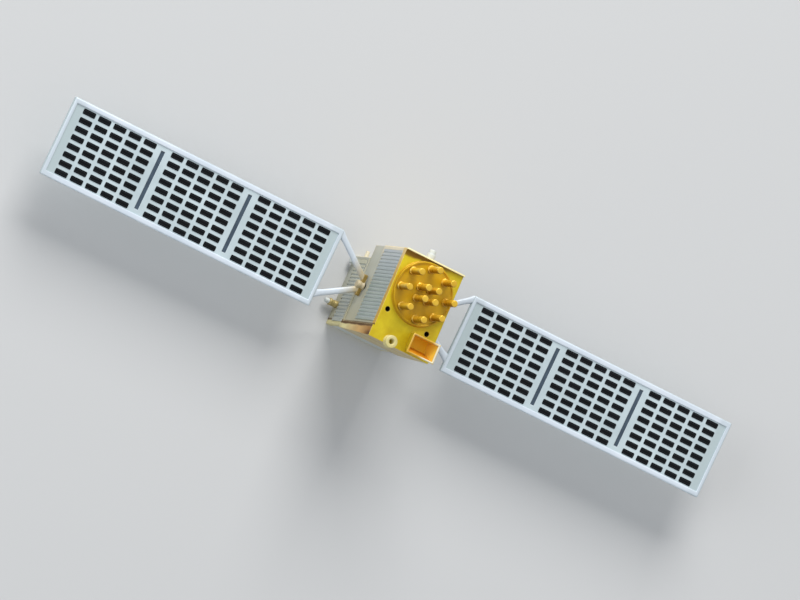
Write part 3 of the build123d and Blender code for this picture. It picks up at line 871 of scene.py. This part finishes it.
def cell_tiles(name, side):
    """Cells with rounded corners and a soft upper edge: rounded rectangles stacked between two poles.
    Their own coordinates run from 0 to 1 across and along each cell."""
    size = np.array(CELL_SIZE)
    base = rounded_outline(*CELL_SIZE, CELL_CORNER)
    soft = 0.00012
    steps = (
        (0.0, size / 2), (0.0, 0), (CELL_THICK - soft, 0), (CELL_THICK - soft * 0.3, soft * 0.3),
        (CELL_THICK, soft), (CELL_THICK, size / 2),
    )
    rings = [
        np.column_stack([base * (1 - 2 * inset / size), np.full(len(base), height)])
        for height, inset in steps
    ]
    tile = np.stack(rings)
    tiles = placed(tile, cell_places(side))
    local = np.broadcast_to(tile[..., :2] / size + 0.5, (*tiles.shape[:-1], 2))
    return surface(name, tilted(tiles), wrap_v=True, local=local)


def edge_frame(name, side):
    """The bright rounded frame along a wing's four edges: a softened half oval carried round a rectangle
    with mitred corners, where the oval's outward part grows along both X and Y, less so at the ends."""
    inset, rise = 0.0003, 0.00075
    long_half, end_half = 0.0016, 0.0011
    half = np.array([long_half, end_half])
    section = soft_oval(0.6, 24)
    corner = np.array([[1, 1], [-1, 1], [-1, -1], [1, -1]], float)
    reach = np.array([WING_WIDTH / 2, (WING_TIP_Y - WING_ROOT_Y) / 2]) - inset - half
    flat = corner[:, None] * (reach + half * section[None, :, :1])
    height = WING_THICK / 2 + 3 * HAIR + np.maximum(section[:, 1] * rise, 0)
    height = np.broadcast_to(height, flat.shape[:2])
    points = np.stack([flat[..., 0], side * (flat[..., 1] + WING_MIDDLE_Y), height], axis=-1)
    return surface(name, tilted(points)[None], wrap_u=True, wrap_v=True)


def yoke_arms(name, side):
    """The yoke's two arms: a softened oval section carried from the root bar to the wing. Its width swells
    a little towards both ends, by a bell curve of the distance from each."""
    end_y = WING_ROOT_Y + 0.0006
    share = np.linspace(0, 1, 25)
    swell = 1 + 0.30 * np.exp(-((share - 1) / 0.09) ** 2) + 0.12 * np.exp(-(share / 0.08) ** 2)
    share = np.concatenate([[0], share, [1]])
    swell = np.concatenate([[0], swell, [0]])
    section = soft_oval(0.8, 20)
    grids = []
    for foot, end in YOKE_ARMS:
        middle = foot + (end - foot) * share
        half = np.minimum(ARM_WIDTH * 0.48 * swell, WING_WIDTH / 2 - 0.0001 - np.abs(middle))
        x = middle[:, None] + half[:, None] * section[None, :, 0]
        y = np.broadcast_to((YOKE_ROOT_Y + (end_y - YOKE_ROOT_Y) * share)[:, None], x.shape)
        z = WING_THICK * 0.62 * np.minimum(swell, 1)[:, None] * section[None, :, 1]
        grids.append(np.stack([x, side * y, z], axis=-1))
    return surface(name, tilted(np.stack(grids)), wrap_v=True, sharp_deg=50)


def yoke_root(name, side):
    """The yoke's root: a rounded bar across the feet of both arms, as rounded rectangles carried along Y
    between two poles."""
    depth, thick = ROOT_BAR
    low_x, high_x = ROOT_BAR_REACH
    width, soft = high_x - low_x, 0.0004
    outer = rounded_outline(width, thick, 0.0009, 5)
    inner = rounded_outline(width - 2 * soft, thick - 2 * soft, 0.0006, 5)
    steps = (
        (0, 0 * outer), (0, inner), (soft, outer),
        (depth - soft, outer), (depth, inner), (depth, 0 * outer),
    )
    rings = []
    for reach, flat in steps:
        y = np.full(len(outer), side * (YOKE_ROOT_Y + reach))
        rings.append(np.stack([flat[:, 0] + (low_x + high_x) / 2, y, flat[:, 1]], axis=1))
    return surface(name, tilted(np.stack(rings))[None], wrap_v=True)


def yoke_hub(name, side):
    """The hub on the wing axis, turned: a collar at the body, a neck and a round nose between the arms."""
    radius, length = HUB
    neck, soft = radius - 0.0003, 0.0006
    outline = profile(
        (0, 0), (radius, 0), (radius, 0.0009), (neck, 0.0012), (neck, 0.0024), (radius, 0.0027),
        arc((radius - soft, length - soft), soft, 0, 90, 5), (0, length),
    )
    form = turned_towards(turned(outline, 44), (0, side, 0))
    return surface(name, placed(form, [(0, side * YOKE_ROOT_Y, WING_AXIS_Z)]), wrap_v=True)


def wing_pieces(wing, side, finishes):
    """One wing's cells, its edge frame, and the yoke as arms, root bar and hub."""
    silver = finishes["yoke_silver"]
    add(cell_tiles(f"{wing}_cell_tiles", side), wing, "solar_cell", finishes["solar_cell"], f"{wing}_cells")
    add(edge_frame(f"{wing}_edge_frame", side), wing, "wing_silver", finishes["wing_edge"])
    add(yoke_arms(f"{wing}_yoke_arms", side), wing, "wing_silver", silver, f"{wing}_yoke")
    add(yoke_root(f"{wing}_yoke_root", side), wing, "wing_silver", finishes["yoke_brown"], f"{wing}_yoke")
    add(yoke_hub(f"{wing}_yoke_hub", side), wing, "wing_silver", silver, f"{wing}_yoke")


# Studio

def stage_floor():
    """A plain pale floor under the rear face."""
    reach = FLOOR_REACH
    mesh = bpy.data.meshes.new("studio_floor")
    corners = [(-reach, -reach, 0), (reach, -reach, 0), (reach, reach, 0), (-reach, reach, 0)]
    mesh.from_pydata(corners, [], [(0, 1, 2, 3)])
    floor = bpy.data.objects.new("studio_floor", mesh)
    bpy.context.scene.collection.objects.link(floor)
    f = Finish("studio_floor_paper")
    f.set(Base_Color=FLOOR_TONE, Roughness=0.8, Specular_IOR_Level=0.2)
    dress(floor, f.material)


def lamp(name, place, size, power, tint):
    """A square area light that points at the object."""
    data = bpy.data.lights.new(name, "AREA")
    data.shape, data.size, data.energy, data.color = "SQUARE", size, power, tint
    made = bpy.data.objects.new(name, data)
    made.location = place
    made.rotation_euler = (-Vector(place)).to_track_quat("-Z", "Y").to_euler()
    bpy.context.scene.collection.objects.link(made)


def studio_light():
    """A soft key from the -X side, a weaker fill from the -Y side, and an even sky that looks pale."""
    lamp("key_light", place=(-3.8, -1.0, 2.6), size=2.6, power=225, tint=(1.0, 0.98, 0.95))
    lamp("fill_light", place=(0.0, -4.0, 2.4), size=2.8, power=56, tint=(0.96, 0.98, 1.0))
    world = bpy.data.worlds.new("studio_sky")
    world.use_nodes = True
    tree = world.node_tree
    tree.nodes.clear()
    rays = tree.nodes.new("ShaderNodeLightPath")
    even = tree.nodes.new("ShaderNodeBackground")
    even.inputs["Color"].default_value = SKY_LIGHT
    even.inputs["Strength"].default_value = SKY_POWER
    seen = tree.nodes.new("ShaderNodeBackground")
    seen.inputs["Color"].default_value = SKY_SEEN
    seen.inputs["Strength"].default_value = 1.0
    sight = rays.outputs["Is Camera Ray"]
    for kind in ("Is Glossy Ray", "Is Transmission Ray"):
        either = tree.nodes.new("ShaderNodeMath")
        either.operation = "MAXIMUM"
        tree.links.new(sight, either.inputs[0])
        tree.links.new(rays.outputs[kind], either.inputs[1])
        sight = either.outputs[0]
    mix = tree.nodes.new("ShaderNodeMixShader")
    tree.links.new(sight, mix.inputs[0])
    tree.links.new(even.outputs[0], mix.inputs[1])
    tree.links.new(seen.outputs[0], mix.inputs[2])
    output = tree.nodes.new("ShaderNodeOutputWorld")
    tree.links.new(mix.outputs[0], output.inputs["Surface"])
    bpy.context.scene.world = world


def photo_camera():
    """A long lens at the photograph's viewing angle, aimed at the middle of the object."""
    data = bpy.data.cameras.new("photo_camera")
    data.lens, data.sensor_width = LENS_MM, SENSOR_MM
    data.clip_start, data.clip_end = 0.5, 50
    camera = bpy.data.objects.new("photo_camera", data)
    place = Vector(CAMERA_PLACE)
    back = (place - (cad_low + cad_high) / 2).normalized()
    up = Vector(CAMERA_UP)
    up = (up - back * up.dot(back)).normalized()
    right = up.cross(back)
    turn = Matrix((right, up, back)).transposed()
    camera.matrix_world = Matrix.Translation(place) @ turn.to_4x4()
    bpy.context.scene.collection.objects.link(camera)
    bpy.context.scene.camera = camera


def main():
    finishes = make_finishes()
    dress_nodes(finishes)
    body_pieces(finishes)
    for name, side in SIDES:
        wing_pieces(f"wing_{name}", side, finishes)
    stage_floor()
    studio_light()
    photo_camera()


main()
bpy.context.scene.view_settings.view_transform = "Standard"
